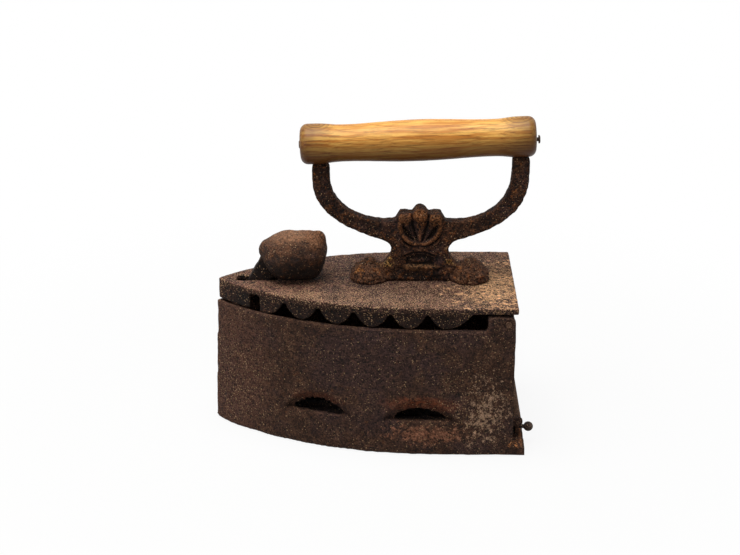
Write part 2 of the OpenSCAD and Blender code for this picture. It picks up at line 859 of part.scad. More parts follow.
module front_nail() {
    color(steel)
        grip_frame()
            translate([0, 0, -nail_head_t])
                nail(nail_head_t + grip_ahead + tang_d / 2 + 1);
}

module rear_nail() {
    long = grip_l / cos(grip_tilt);
    color(steel)
        grip_frame()
            translate([-nail_low, 0, long + nail_out + nail_head_t])
                rotate([180, 0, 0])
                    nail(nail_out + nail_head_t + grip_behind + tang_d / 2 + 1);
}

// ---------------------------------------------------------------- draught flap

module draught_flap() {
    color(rust)
        difference() {
            union() {
                along_y(flap_x, flap_z, 2 * barrel_r, 2 * flap_half);
                translate([flap_face, -flap_half, flap_low])
                    cube([flap_t, 2 * flap_half, flap_z - 1 - flap_low]);
            }
            along_y(flap_x, flap_z, flap_pin_d + 2 * fit, 4 * flap_half);
            translate([flap_face - 1, ball_y, ball_z])
                rotate([0, 90, 0])
                    cylinder(d = stem_d + 2 * fit, h = flap_t + 2);
        }
}

module flap_pin() {
    color(steel)
        along_y(flap_x, flap_z, flap_pin_d, 2 * ear_out + 1.6);
}

module flap_knob() {
    color(steel)
        translate([flap_face, ball_y, ball_z]) {
            translate([-ball_off, 0, 0])
                sphere(d = ball_d);
            translate([-ball_off, 0, 0])
                rotate([0, 90, 0])
                    cylinder(d = stem_d, h = ball_off + flap_t);
        }
}

body();
grate();
lid();
lid_hinge_pin();
latch();
latch_pin();
handle_yoke();
front_rivet();
rear_rivet();
front_washer();
rear_washer();
grip();
front_nail();
rear_nail();
draught_flap();
flap_pin();
flap_knob();
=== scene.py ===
"""Dresses the frame of a charcoal clothes iron: a cast iron firebox, lid, latch and yoke
gone to rust, and a turned wooden grip."""

import math

import bmesh
import bpy
import numpy as np
from bpy.props import FloatProperty, FloatVectorProperty, IntProperty, PointerProperty
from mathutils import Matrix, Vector, noise


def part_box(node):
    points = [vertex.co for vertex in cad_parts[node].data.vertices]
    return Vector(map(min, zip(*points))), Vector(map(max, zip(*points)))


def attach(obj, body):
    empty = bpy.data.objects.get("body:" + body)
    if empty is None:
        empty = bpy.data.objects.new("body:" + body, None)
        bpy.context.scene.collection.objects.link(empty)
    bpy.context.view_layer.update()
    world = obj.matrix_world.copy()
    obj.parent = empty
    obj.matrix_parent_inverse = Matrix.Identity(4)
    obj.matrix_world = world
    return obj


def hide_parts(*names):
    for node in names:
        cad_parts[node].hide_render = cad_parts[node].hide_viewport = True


bl_info = {
    "name": "Charcoal Clothes Iron",
    "version": (1, 0, 0),
    "blender": (4, 5, 0),
    "location": "View3D > Sidebar > Iron",
    "description": "Builds the rusted castings, fittings and wooden grip of a charcoal iron",
    "category": "Object",
}

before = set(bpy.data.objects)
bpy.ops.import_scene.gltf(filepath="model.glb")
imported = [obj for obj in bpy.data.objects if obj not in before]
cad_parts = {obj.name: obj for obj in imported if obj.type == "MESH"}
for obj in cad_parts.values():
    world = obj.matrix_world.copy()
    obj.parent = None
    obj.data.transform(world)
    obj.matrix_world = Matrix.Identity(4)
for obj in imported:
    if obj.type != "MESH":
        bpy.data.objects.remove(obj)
MM = 0.001
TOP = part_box("lid")[1].z / MM
YOKE_X = (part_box("handle_yoke")[0].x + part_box("handle_yoke")[1].x) / 2 / MM
WHITE = (1.0, 1.0, 1.0, 1.0)
EVEN, SOFT = "LINEAR", "SMOOTHSTEP"    # how a coat comes in


def linear(code):
    """Linear RGBA of an sRGB hex colour."""
    parts = [int(code[i:i + 2], 16) / 255 for i in (1, 3, 5)]
    return (*(c / 12.92 if c <= 0.04045 else ((c + 0.055) / 1.055) ** 2.4 for c in parts), 1.0)


def colour(name, description, code):
    """A colour property whose default is an sRGB hex value."""
    return FloatVectorProperty(name=name, description=description, subtype="COLOR", size=4,
                               min=0, max=1, default=linear(code))


def length(name, description, millimetres):
    """A length property, in metres."""
    return FloatProperty(name=name, description=description, subtype="DISTANCE", unit="LENGTH",
                         min=0, default=millimetres * MM)


class IronColours(bpy.types.PropertyGroup):
    wall: colour("Firebox", "Rusted skin of the firebox walls", "#39261d")
    wall_light: colour("Firebox, paler", "Drier rust on the firebox", "#523a2d")
    plate: colour("Lid", "Rusted skin of the lid", "#422d25")
    plate_light: colour("Lid, paler", "Drier rust on the lid", "#5f4338")
    # Also laid as painted shade in hollows, grooves and openings, and as painted shadows under and
    # between parts
    black_rust_and_shade: colour("Black rust", "Dense black scale in the hollows", "#150e0b")
    plum: colour("Plum rust", "Purplish oxide between the brown patches", "#41302f")
    orange: colour("Orange rust", "Fresh rust", "#7d4a26")
    ochre: colour("Ochre rust", "Powdery yellow rust", "#b98a55")
    lime: colour("Pale scale", "Cream specks of scale and ash", "#d2b494")
    yoke: colour("Yoke", "Coarse brown rust of the yoke", "#24150f")
    crest: colour("Ornament", "Orange brown crests of the ornament", "#7a4e2e")
    soot: colour("Soot", "Soot on the grate and the flap", "#231b18")
    # Also the painted highlight along edges and crests that stand out
    rubbed_and_highlit: colour("Rubbed iron", "Edges and crests that are rubbed paler", "#80604a")
    wire: colour("Wire", "Dark drawn wire of nails and pins", "#332824")
    wood: colour("Wood", "Honey brown late wood", "#c37a2e")
    wood_light: colour("Wood, light", "Pale early wood", "#f6bd60")
    wood_dark: colour("Wood, soiled", "Dirt worked into the ends", "#451d04")


class IronSizes(bpy.types.PropertyGroup):
    grain: length("Grain", "Grain of the cast skin", 1.1)
    speck: length("Speck", "Size of a speck of scale", 0.9)
    pit: length("Pit", "Distance between rust pits", 2.9)
    pit_depth: length("Pit depth", "Depth of the rust pits", 0.6)
    swell: length("Unevenness", "How far the cast faces wander from true", 0.35)
    crust: length("Crust", "Height of the rust crust on the yoke", 1.1)
    relief: length("Relief", "Height of the ornament on the yoke", 2.1)
    ring_pitch: length("Growth rings", "Distance between growth rings of the wood", 3.4)
    floor: length("Floor", "Width of the floor", 6000)
    rivet_sides: IntProperty(name="Rivet facets", description="Sides round a hammered rivet head",
                             default=28, min=12, max=64)


def sizes():
    return bpy.context.scene.iron_sizes


def colours():
    return bpy.context.scene.iron_colours


# ---------------------------------------------------------------- meshes

def new_piece(name, mesh, material, body, nodes):
    """Puts a finished mesh in the scene in place of the frame's nodes."""
    piece = bpy.data.objects.new(name, mesh)
    bpy.context.scene.collection.objects.link(piece)
    mesh.materials.clear()
    mesh.materials.append(material)
    mesh.polygons.foreach_set("material_index", [0] * len(mesh.polygons))
    mesh.polygons.foreach_set("use_smooth", [True] * len(mesh.polygons))
    mesh.update()
    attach(piece, body)
    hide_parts(*nodes)
    return piece


def evaluated(obj):
    """Plain mesh of an object with its modifiers applied. The object is then removed."""
    bpy.context.view_layer.update()
    graph = bpy.context.evaluated_depsgraph_get()
    mesh = bpy.data.meshes.new_from_object(obj.evaluated_get(graph))
    obj.modifiers.clear()
    bpy.data.objects.remove(obj)
    return mesh


def recast(node, voxel):
    """Copy of a node's shape as one even skin of small faces, voxel millimetres across."""
    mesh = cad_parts[node].data.copy()
    bm = bmesh.new()
    bm.from_mesh(mesh)
    bmesh.ops.remove_doubles(bm, verts=bm.verts, dist=1e-6)
    bmesh.ops.recalc_face_normals(bm, faces=bm.faces)
    bm.to_mesh(mesh)
    bm.free()
    blank = bpy.data.objects.new("blank", mesh)
    bpy.context.scene.collection.objects.link(blank)
    remesh = blank.modifiers.new("even_skin", "REMESH")
    remesh.mode = "VOXEL"
    remesh.voxel_size = voxel * MM
    return evaluated(blank)


def points_of(mesh):
    """Vertices in millimetres."""
    co = np.empty(len(mesh.vertices) * 3)
    mesh.vertices.foreach_get("co", co)
    return co.reshape(-1, 3) / MM


def normals_of(mesh):
    """Outward direction at each vertex."""
    mesh.update()
    out = np.empty(len(mesh.vertices) * 3)
    mesh.vertex_normals.foreach_get("vector", out)
    return out.reshape(-1, 3)


def put_points(mesh, points):
    """Moves the vertices to their points, given in millimetres."""
    mesh.vertices.foreach_set("co", (points * MM).ravel())
    mesh.update()


def smooth(mesh, rounds, share=None):
    """Rounds the edges over, by moving each point half way to the middle of its neighbours, in
    each round. share gives each point its part of that move."""
    points = points_of(mesh)
    pairs = np.empty(len(mesh.edges) * 2, dtype=np.int32)
    mesh.edges.foreach_get("vertices", pairs)
    a, b = pairs.reshape(-1, 2).T
    count = len(points)
    valence = np.bincount(a, minlength=count) + np.bincount(b, minlength=count)
    weight = 0.5 if share is None else 0.5 * share[:, None]
    for _ in range(rounds):
        total = np.stack([np.bincount(a, points[b, k], count) + np.bincount(b, points[a, k], count)
                          for k in range(3)], axis=1)
        points = points + weight * (total / np.maximum(valence, 1)[:, None] - points)
    put_points(mesh, points)


def wander(points, grain, octaves=3, seed=0):
    """Noise at each point, about -1 to 1, with features grain millimetres across."""
    shift = Vector((seed * 17.3, seed * 7.1, seed * 3.7))
    return np.array([noise.fractal(Vector(p) / grain + shift, 1.0, 2.0, octaves) for p in points])


def step(value, low, high):
    """Smooth rise from 0 at low to 1 at high."""
    t = np.clip((value - low) / (high - low), 0, 1)
    return t * t * (3 - 2 * t)


def ridge(distance, half):
    """Rounded ridge, 1 on its crest and 0 from half millimetres away."""
    return np.sqrt(np.clip(1 - (distance / half) ** 2, 0, 1))


def roughen(mesh, node, height, grain, seed=0):
    """Pushes the skin in and out by about height millimetres, more in than out, and keeps it in
    the node's own box."""
    points, normals = points_of(mesh), normals_of(mesh)
    inward = 0.35
    moved = points + normals * (height * (wander(points, grain, seed=seed) - inward))[:, None]
    low, high = (np.array(corner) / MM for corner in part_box(node))
    put_points(mesh, np.clip(moved, low, high))


# ---------------------------------------------------------------- materials

def add(tree, kind, inputs=None, **settings):
    """Adds a node. inputs maps sockets to values, or to the sockets that feed them."""
    node = tree.nodes.new(kind)
    for name, value in settings.items():
        setattr(node, name, value)
    for socket, value in (inputs or {}).items():
        if isinstance(value, bpy.types.NodeSocket):
            tree.links.new(value, node.inputs[socket])
        else:
            node.inputs[socket].default_value = value
    return node


def new_material(name):
    """Empty material, its tree, its shader and the object's own coordinates."""
    material = bpy.data.materials.new(name)
    material.use_nodes = True
    tree = material.node_tree
    tree.nodes.clear()
    shader = add(tree, "ShaderNodeBsdfPrincipled")
    add(tree, "ShaderNodeOutputMaterial", {"Surface": shader.outputs["BSDF"]})
    place = add(tree, "ShaderNodeTexCoord").outputs["Object"]
    return material, tree, shader, place


def away_from(tree, place, centre, reach):
    """Distance of each point from a centre, as a share of the reach in its direction. Centre and
    reach are in millimetres."""
    moved = add(tree, "ShaderNodeVectorMath", {0: place, 1: Vector(centre) * MM},
                operation="SUBTRACT").outputs["Vector"]
    scaled = add(tree, "ShaderNodeVectorMath", {0: moved, 1: Vector(reach) * MM},
                 operation="DIVIDE").outputs["Vector"]
    return add(tree, "ShaderNodeVectorMath", {0: scaled}, operation="LENGTH").outputs["Value"]


def lay(tree, ground, coats):
    """Colour of a ground under its coats, laid in order. A coat is a field, the field's value
    where the coat starts and where it is full, its share when full, its tone, and EVEN or SOFT
    for how it comes in."""
    for field, start, full, share, tone, rise in coats:
        amount = add(tree, "ShaderNodeMapRange", {"Value": field, "From Min": start,
                                                  "From Max": full, "To Max": share},
                     interpolation_type=rise).outputs["Result"]
        ground = add(tree, "ShaderNodeMix", {0: amount, 6: ground, 7: tone},
                     data_type="RGBA").outputs[2]
    return ground


def rusted_iron(name, base, light, specks=0.5, rust=0.35, pitted=0.6, contrast=1.0, stains=(),
                crusts=(), dusty=(), shade_and_crest_map=False, roughness=0.85):
    """Cast iron gone to rust: dull brown oxide with plum areas, a harsh sandy grain, black pits,
    orange blooms where water sat, and cream specks of dry scale. Rust is no metal to the eye, so
    it has no metallic share. A stain and a crust are a place, a reach (both in millimetres), a
    colour and a strength: a stain fades out, a crust breaks up into sharp flakes, and its fifth
    value is how closely they lie. Dust is a place, a reach and how much more scale lies there.
    A piece with a shade and crest map has its own attribute: below zero it is darkened with painted
    shade, and above zero its crests are paler."""
    tones, real = colours(), sizes()
    material, tree, shader, place = new_material(name)
    # Plum areas are 30 mm wide, drier patches 8 mm and orange blooms 4 mm. The sandy grain is
    # about 1 mm, gathered in clumps of 2.6 mm, and is never drawn finer.
    wide, middle, bloom, fine, grain = (
        add(tree, "ShaderNodeTexNoise", {"Vector": place, "Scale": 1 / size, "Detail": detail,
                                         "Roughness": rough, "Distortion": bend}).outputs["Fac"]
        for size, detail, rough, bend in (
            (30 * MM, 4.0, 0.6, 0.0), (8 * MM, 6.0, 0.72, 0.4), (4 * MM, 6.0, 0.8, 0.0),
            (2.6 * MM, 3.0, 0.7, 0.0), (real.grain, 1.0, 0.6, 0.0)))
    coats = [(middle, 0.4, 0.62, 1.0, light, SOFT), (wide, 0.48, 0.62, 0.5, tones.plum, EVEN)]
    for centre, reach, tone, strength in stains:
        faded = add(tree, "ShaderNodeMath", {0: away_from(tree, place, centre, reach), 1: middle},
                    operation="ADD").outputs["Value"]
        coats.append((faded, 1.65, 1.1, strength, tone, SOFT))
    for centre, reach, tone, strength, cover in crusts:
        flakes = add(tree, "ShaderNodeTexNoise", {"Vector": place, "Scale": 1 / (3.6 * MM),
                                                  "Detail": 7.0, "Roughness": 0.82}
                     ).outputs["Fac"]
        broken = add(tree, "ShaderNodeMath", {0: away_from(tree, place, centre, reach), 1: -0.16,
                                              2: flakes}, operation="MULTIPLY_ADD"
                     ).outputs["Value"]
        sparse = 0.55 - 0.17 * cover
        coats.append((broken, sparse, sparse + 0.035, strength, tone, EVEN))
    wet = 0.62 - 0.12 * rust
    coats.append((bloom, wet, wet + 0.08, rust, tones.orange, EVEN))
    # Hollows are darkened with black scale and painted shade, and what stands out is rubbed paler
    # and given a painted highlight
    curve = add(tree, "ShaderNodeNewGeometry").outputs["Pointiness"]
    coats += [(curve, 0.48, 0.40, 0.75, tones.black_rust_and_shade, EVEN),
              (curve, 0.53, 0.62, 0.45, tones.rubbed_and_highlit, EVEN)]
    if shade_and_crest_map:
        cut = add(tree, "ShaderNodeAttribute", attribute_name="shade_and_crest").outputs["Fac"]
        # Painted shade where the attribute is below zero, paler crests where it is above
        coats += [(cut, -0.15, -0.6, 0.85, tones.black_rust_and_shade, EVEN),
                  (cut, 0.2, 0.8, 0.6, tones.crest, EVEN)]
    skin = lay(tree, base, coats)
    both = add(tree, "ShaderNodeMath", {0: fine, 1: grain}, operation="ADD").outputs["Value"]
    bright = add(tree, "ShaderNodeMapRange", {"Value": both, "From Min": 0.72, "From Max": 1.28,
                                              "To Min": 1 - 0.8 * contrast,
                                              "To Max": 1 + contrast}).outputs["Result"]
    skin = add(tree, "ShaderNodeMix", {0: 1.0, 6: skin, 7: bright}, data_type="RGBA",
               blend_type="MULTIPLY").outputs[2]
    pits = add(tree, "ShaderNodeTexVoronoi", {"Vector": place, "Scale": 1 / real.pit}
               ).outputs["Distance"]
    uneven = add(tree, "ShaderNodeMath", {0: fine, 1: 0.5, 2: pits}, operation="MULTIPLY_ADD"
                 ).outputs["Value"]
    # Specks of scale, drawn a little coarser than the real dust, so that they show
    dust = add(tree, "ShaderNodeTexNoise", {"Vector": place, "Scale": 1 / real.speck,
                                            "Detail": 0.0}).outputs["Fac"]
    gathered = add(tree, "ShaderNodeMath", {0: middle, 1: 0.3, 2: dust}, operation="MULTIPLY_ADD"
                   ).outputs["Value"]
    for centre, reach, more in dusty:
        field = add(tree, "ShaderNodeMapRange", {"Value": away_from(tree, place, centre, reach),
                                                 "To Min": more, "To Max": 0.0}
                    ).outputs["Result"]
        gathered = add(tree, "ShaderNodeMath", {0: gathered, 1: field}, operation="ADD"
                       ).outputs["Value"]
    scale = add(tree, "ShaderNodeMix", {0: bloom, 6: tones.lime, 7: tones.ochre},
                data_type="RGBA").outputs[2]
    edge = 0.93 - 0.16 * specks
    skin = lay(tree, skin, [(uneven, 0.46, 0.34, pitted, tones.black_rust_and_shade, EVEN),
                            (gathered, edge, edge + 0.06, 0.85, scale, EVEN)])
    tree.links.new(skin, shader.inputs["Base Color"])
    matt = add(tree, "ShaderNodeMapRange", {"Value": fine, "From Min": 0.3, "From Max": 0.7,
                                            "To Min": roughness - 0.12, "To Max": roughness + 0.1}
               ).outputs["Result"]
    tree.links.new(matt, shader.inputs["Roughness"])
    shader.inputs["Specular IOR Level"].default_value = 0.18
    # Pits about 3 mm apart, then the lumps and the grain of the scale itself
    first = add(tree, "ShaderNodeBump", {"Strength": pitted, "Distance": real.pit_depth,
                                         "Height": uneven}).outputs["Normal"]
    second = add(tree, "ShaderNodeBump", {"Strength": 0.8, "Distance": 2.2 * MM, "Height": middle,
                                          "Normal": first}).outputs["Normal"]
    third = add(tree, "ShaderNodeBump", {"Strength": 0.9, "Distance": 1.1 * MM, "Height": both,
                                         "Normal": second}).outputs["Normal"]
    tree.links.new(third, shader.inputs["Normal"])
    return material


def turned_wood(middle, along, up, tilt, long):
    """A pale hardwood, turned and then worn smooth by the hand: honey brown rings that run the
    length of the grip and close as ovals on its knobs, fine dark pores, soiled ends, and the
    low sheen of handled wood. The tree's middle lay far below the grip."""
    tones, real = colours(), sizes()
    material, tree, shader, place = new_material("turned_hardwood")
    # The rings waver over 45 mm, and the wear is in blotches 22 mm wide
    warp, blotch = (
        add(tree, "ShaderNodeTexNoise", {"Vector": place, "Scale": 1 / size, "Detail": detail,
                                         "Roughness": rough}).outputs["Fac"]
        for size, detail, rough in ((45 * MM, 3.0, 0.5), (22 * MM, 4.0, 0.6)))
    pith = middle + Vector((0, 18, -95))
    grown = add(tree, "ShaderNodeMapping", {"Vector": place, "Location": pith * MM,
                                            "Rotation": (0, tilt, 0)},
                vector_type="TEXTURE").outputs["Vector"]
    across = add(tree, "ShaderNodeVectorMath", {0: grown, 1: (0.0, 1.0, 1.0)},
                 operation="MULTIPLY").outputs["Vector"]
    radius = add(tree, "ShaderNodeVectorMath", {0: across}, operation="LENGTH").outputs["Value"]
    drift = add(tree, "ShaderNodeMath", {0: warp, 1: 14 * MM, 2: radius},
                operation="MULTIPLY_ADD").outputs["Value"]
    ring = add(tree, "ShaderNodeMath", {0: drift, 1: real.ring_pitch},
               operation="DIVIDE").outputs["Value"]
    phase = add(tree, "ShaderNodeMath", {0: ring}, operation="FRACT").outputs["Value"]
    rise = add(tree, "ShaderNodeMapRange", {"Value": phase, "From Min": 0.35, "From Max": 0.92},
               interpolation_type=SOFT).outputs["Result"]
    fall = add(tree, "ShaderNodeMapRange", {"Value": phase, "From Min": 1.0, "From Max": 0.92}
               ).outputs["Result"]
    late = add(tree, "ShaderNodeMath", {0: rise, 1: fall}, operation="MULTIPLY").outputs["Value"]
    # Bands of fibre are 2 mm wide and 50 mm long, dark and pale. Pores are 0.3 mm wide and 12 mm
    # long on real wood, and are drawn 0.7 mm wide and 16 mm long, so that they show.
    fibres = []
    for size, detail, rough, bend in (((50, 2.2, 2.2), 4.0, 0.65, 0.15),
                                      ((16, 0.7, 0.7), 3.0, 0.7, 0.0)):
        drawn = add(tree, "ShaderNodeVectorMath", {0: grown, 1: Vector(size) * MM},
                    operation="DIVIDE").outputs["Vector"]
        fibres.append(add(tree, "ShaderNodeTexNoise", {"Vector": drawn, "Scale": 1.0,
                                                       "Detail": detail, "Roughness": rough,
                                                       "Distortion": bend}).outputs["Fac"])
    band, pore = fibres
    # The palm side is painted browner than the top: partly dirt, and partly painted shade
    out = add(tree, "ShaderNodeVectorMath", {0: place, 1: middle * MM},
              operation="SUBTRACT").outputs["Vector"]
    height = add(tree, "ShaderNodeVectorMath", {0: out, 1: up},
                 operation="DOT_PRODUCT").outputs["Value"]
    coats = [(late, 0.0, 1.0, 0.6, tones.wood, EVEN),
             (band, 0.46, 0.64, 0.95, tones.wood, EVEN),
             (pore, 0.5, 0.68, 0.7, tones.wood_dark, EVEN),
             (blotch, 0.42, 0.7, 0.4, tones.wood, EVEN),
             # Painted shade with dirt, darker towards the underside
             (height, 5 * MM, -12 * MM, 0.95, tones.wood_dark, EVEN)]
    # The lathe cut across the rings on top of each knob, where they show as ovals
    for share in (-0.43, 0.43):
        top = middle + along * long * share + up * 13
        away = away_from(tree, place, top, (13, 11, 40))
        wavy = add(tree, "ShaderNodeMath", {0: warp, 1: 0.5, 2: away}, operation="MULTIPLY_ADD"
                   ).outputs["Value"]
        turns = add(tree, "ShaderNodeMath", {0: wavy, 1: 4.5}, operation="MULTIPLY"
                    ).outputs["Value"]
        line = add(tree, "ShaderNodeMath", {0: turns}, operation="FRACT").outputs["Value"]
        fade = add(tree, "ShaderNodeMapRange", {"Value": away, "From Min": 1.0, "From Max": 0.6}
                   ).outputs["Result"]
        oval = add(tree, "ShaderNodeMath", {0: line, 1: fade}, operation="MULTIPLY"
                   ).outputs["Value"]
        coats.append((oval, 0.0, 1.0, 0.6, tones.wood_dark, EVEN))
    # Dirt thickens unevenly over about the last 30 mm at each end
    reach = add(tree, "ShaderNodeVectorMath", {0: out, 1: along},
                operation="DOT_PRODUCT").outputs["Value"]
    end = add(tree, "ShaderNodeMath", {0: reach}, operation="ABSOLUTE").outputs["Value"]
    soiled = add(tree, "ShaderNodeMath", {0: blotch, 1: 22 * MM, 2: end},
                 operation="MULTIPLY_ADD").outputs["Value"]
    coats.append((soiled, (long / 2 - 22) * MM, (long / 2 + 12) * MM, 0.75, tones.wood_dark, SOFT))
    tree.links.new(lay(tree, tones.wood_light, coats), shader.inputs["Base Color"])
    shader.inputs["Roughness"].default_value = 0.46
    shader.inputs["Specular IOR Level"].default_value = 0.28
    grain = add(tree, "ShaderNodeBump", {"Strength": 0.35, "Distance": 0.25 * MM, "Height": pore}
                ).outputs["Normal"]
    tree.links.new(grain, shader.inputs["Normal"])
    return material


# ---------------------------------------------------------------- pieces

class StageOperator(bpy.types.Operator):
    """Pale floor, soft studio light and the camera"""
    bl_idname = "iron.stage"
    bl_label = "Stage"

    def execute(self, context):
        scene = context.scene
        scene.view_settings.view_transform = "Standard"
        half = sizes().floor / 2
        mesh = bpy.data.meshes.new("floor")
        mesh.from_pydata([(-half, -half, 0), (half, -half, 0), (half, half, 0), (-half, half, 0)],
                         [], [(0, 1, 2, 3)])
        floor = bpy.data.objects.new("floor", mesh)
        scene.collection.objects.link(floor)
        mesh.materials.append(self.paper())
        self.sky(scene)
        # A wide lamp overhead, and a weak one from the near side and the nose
        self.lamp("overhead_lamp", (150, 150, 1500), (0, 0, 100), width=1100, power=25)
        self.lamp("near_lamp", (1100, 1200, 700), (0, 0, 90), width=1000, power=4)
        camera = bpy.data.objects.new("camera", bpy.data.cameras.new("camera"))
        scene.collection.objects.link(camera)
        camera.data.lens = 75.17
        camera.data.sensor_width = 36
        self.aim(camera, (-20.4, 977.6, 488.5), (-2.95, 0, 105.76))
        scene.camera = camera
        return {"FINISHED"}

    def aim(self, piece, place, target):
        """Puts a lamp or the camera at a place and turns it to a target, in millimetres."""
        piece.location = Vector(place) * MM
        away = Vector(target) * MM - piece.location
        piece.rotation_euler = away.to_track_quat("-Z", "Y").to_euler()

    def lamp(self, name, place, target, width, power):
        """Round lamp, its width in millimetres and its power in watts."""
        data = bpy.data.lights.new(name, "AREA")
        data.shape = "DISK"
        data.size = width * MM
        data.energy = power
        lamp = bpy.data.objects.new(name, data)
        bpy.context.scene.collection.objects.link(lamp)
        self.aim(lamp, place, target)

    def seen(self, tree):
        """1 for rays to the eye, straight or off a gloss, which see the studio white, else 0."""
        ray = add(tree, "ShaderNodeLightPath").outputs
        return add(tree, "ShaderNodeMath", {0: ray["Is Camera Ray"], 1: ray["Is Glossy Ray"]},
                   operation="MAXIMUM").outputs["Value"]

    def paper(self):
        """White paper sweep: matt, and lifted to white for the eye, so that only the soft
        shadow under the iron shows on it. It throws little light back on the undersides."""
        material = bpy.data.materials.new("white_paper")
        material.use_nodes = True
        tree = material.node_tree
        tree.nodes.clear()
        matt = add(tree, "ShaderNodeBsdfDiffuse", {"Color": linear("#e4e4e2")}).outputs["BSDF"]
        dull = add(tree, "ShaderNodeBsdfDiffuse", {"Color": linear("#9a9a98")}).outputs["BSDF"]
        glow = add(tree, "ShaderNodeEmission", {"Color": WHITE}).outputs["Emission"]
        place = add(tree, "ShaderNodeTexCoord").outputs["Object"]
        away = add(tree, "ShaderNodeVectorMath", {0: place}, operation="LENGTH").outputs["Value"]
        lift = add(tree, "ShaderNodeMapRange", {"Value": away, "From Min": 120 * MM,
                                                "From Max": 500 * MM, "To Min": 0.9,
                                                "To Max": 1.0}, interpolation_type=SOFT
                   ).outputs["Result"]
        lifted = add(tree, "ShaderNodeMixShader", {0: lift, 1: matt, 2: glow}).outputs["Shader"]
        surface = add(tree, "ShaderNodeMixShader", {0: self.seen(tree), 1: dull, 2: lifted}
                      ).outputs["Shader"]
        add(tree, "ShaderNodeOutputMaterial", {"Surface": surface})
        return material

    def sky(self, scene):
        """White to the eye, and a weak even light on the iron."""
        world = bpy.data.worlds.new("studio")
        scene.world = world
        world.use_nodes = True
        tree = world.node_tree
        tree.nodes.clear()
        strength = add(tree, "ShaderNodeMapRange", {"Value": self.seen(tree), "To Min": 0.1}
                       ).outputs["Result"]
        light = add(tree, "ShaderNodeBackground", {"Color": WHITE, "Strength": strength}
                    ).outputs["Background"]
        add(tree, "ShaderNodeOutputWorld", {"Surface": light})


class FireboxOperator(bpy.types.Operator):
    """Firebox: sand cast walls, sole, ledge, vents and hinge posts"""
    bl_idname = "iron.firebox"
    bl_label = "Firebox"

    def execute(self, context):
        tones = colours()
        skin = rusted_iron(
            "rusted_firebox_iron", tones.wall, tones.wall_light, specks=0.22, rust=0.3,
            pitted=0.8, contrast=1.1,
            stains=[((104, 0, 40), (52, 60, 70), linear("#65463a"), 0.55),
                    ((10, 56, 66), (56, 24, 26), tones.plum, 0.5),
                    ((33, 44, 35), (24, 14, 6), linear("#5c3424"), 0.6),
                    ((-37, 57, 36), (28, 12, 7), linear("#6b3a26"), 0.6),
                    # Painted shadow of the flap and its ear on the ledge behind the rear corner
                    ((-101, 12, 10), (9, 40, 6), tones.black_rust_and_shade, 0.9),
                    # Light rust and a painted highlight along the ledge's outer edge
                    ((-105, 0, 9), (2.2, 62, 4), linear("#a8704c"), 0.8),
                    ((-6, 0, 46), (70, 34, 52), tones.soot, 0.95)],
            crusts=[((-42, 57, 16), (34, 16, 8), linear("#96644c"), 0.7, 0.95),
                    ((-37, 57, 37), (24, 12, 6), linear("#854629"), 0.6, 0.6),
                    ((-80, 57, 30), (20, 16, 34), linear("#b8957a"), 0.75, 0.68),
                    ((-102, 52, 10), (7, 9, 4.5), linear("#c8824e"), 0.9, 0.9)],
            dusty=[((100, 20, 36), (50, 60, 50), 0.1), ((-70, 57, 30), (40, 20, 50), 0.06)])
        mesh = recast("body", 1.25)
        smooth(mesh, 1)
        self.vent_rims(mesh)
        roughen(mesh, "body", sizes().swell / MM, 9, seed=1)
        new_piece("firebox_casting", mesh, skin, "firebox", ["body"])
        return {"FINISHED"}

    def vent_rims(self, mesh):
        """Sinks the scoop over each side vent under an arched rim. A vent is its middle along the
        iron, how far out its wall lies, and how far that wall turns in towards the nose."""
        vents = ((31.5, 44.0, math.radians(18)), (-37.0, 56.4, 0.0))
        # The arch is the top of a tall ellipse, whose centre lies far below the vent's sill
        half, tall, centre, sill = 44.9, 88.4, -47.9, 25.0
        rim_high, rim_wide, sunk = 0.45, 1.5, 1.1
        vent_half, wall_depth = 27, 14
        points, normals = points_of(mesh), normals_of(mesh)
        outer = step(np.abs(normals[:, 1]), 0.5, 0.8) * step(points[:, 2], sill, sill + 1)
        for middle, side, turn in vents:
            out = np.abs(points[:, 1]) - side
            along = (points[:, 0] - middle) * math.cos(turn) - out * math.sin(turn)
            up = points[:, 2] - centre
            share = np.hypot(along / half, up / tall)
            # Millimetres outside the arch, below zero in the scoop
            beyond = (share - 1) * share / np.hypot(along / half ** 2, up / tall ** 2)
            near = (np.abs(along) < vent_half) & (np.abs(out) < wall_depth)
            lift = rim_high * ridge(beyond - 1, rim_wide) - sunk * step(-beyond, 0, 1.6)
            points += normals * (lift * outer * near)[:, None]
        put_points(mesh, points)


class GrateOperator(bpy.types.Operator):
    """Grate that carries the coals, black with soot"""
    bl_idname = "iron.grate"
    bl_label = "Grate"

    def execute(self, context):
        tones = colours()
        skin = rusted_iron("sooted_iron", tones.soot, linear("#3a2f2a"), specks=0.25, rust=0.2,
                           pitted=0.8, roughness=0.88)
        mesh = recast("grate", 0.9)
        smooth(mesh, 2)
        new_piece("grate_casting", mesh, skin, "firebox", ["grate"])
        return {"FINISHED"}


